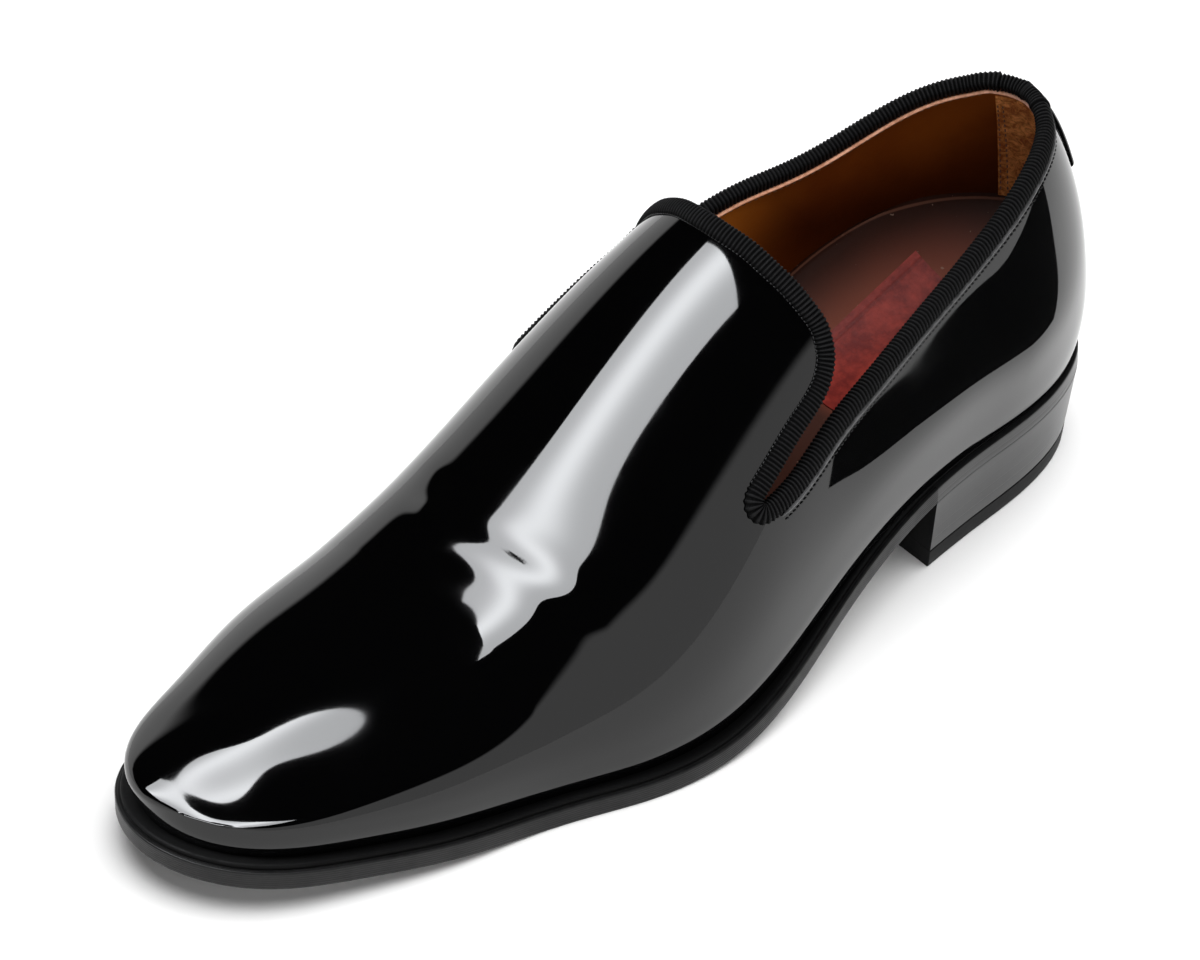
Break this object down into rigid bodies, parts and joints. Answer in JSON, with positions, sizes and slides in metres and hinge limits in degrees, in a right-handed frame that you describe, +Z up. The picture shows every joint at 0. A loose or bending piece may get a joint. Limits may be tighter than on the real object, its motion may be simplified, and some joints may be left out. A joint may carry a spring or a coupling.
{
  "type": "slip-on dress shoe",
  "caption": "Left slip-on dress shoe in black patent leather: hollow upper with ribbon-bound opening and side notches, thin sole, low stacked heel and brown insole.",
  "frame": {"origin": "on the floor under the middle of the shoe's box", "axes": "+Z up, toe towards -Y, heel towards +Y, outer (lateral) side of a left shoe towards +X"},
  "size_m": [0.108, 0.3016, 0.1092],
  "materials": {
    "patent_leather": "high gloss",
    "grosgrain": "ribbed matte",
    "sole_leather": "matte",
    "welt_leather": "satin",
    "heel_leather": "satin",
    "heel_rubber": "matte",
    "sock_leather": "matte"
  },
  "bodies": {
    "root": {"outsole": "sole_leather", "welt": "welt_leather", "heel_stack": "heel_leather", "top_lift": "heel_rubber", "upper": "patent_leather", "binding": "grosgrain", "back_strip": "patent_leather", "insole": "sock_leather"}
  },
  "joints": []
}
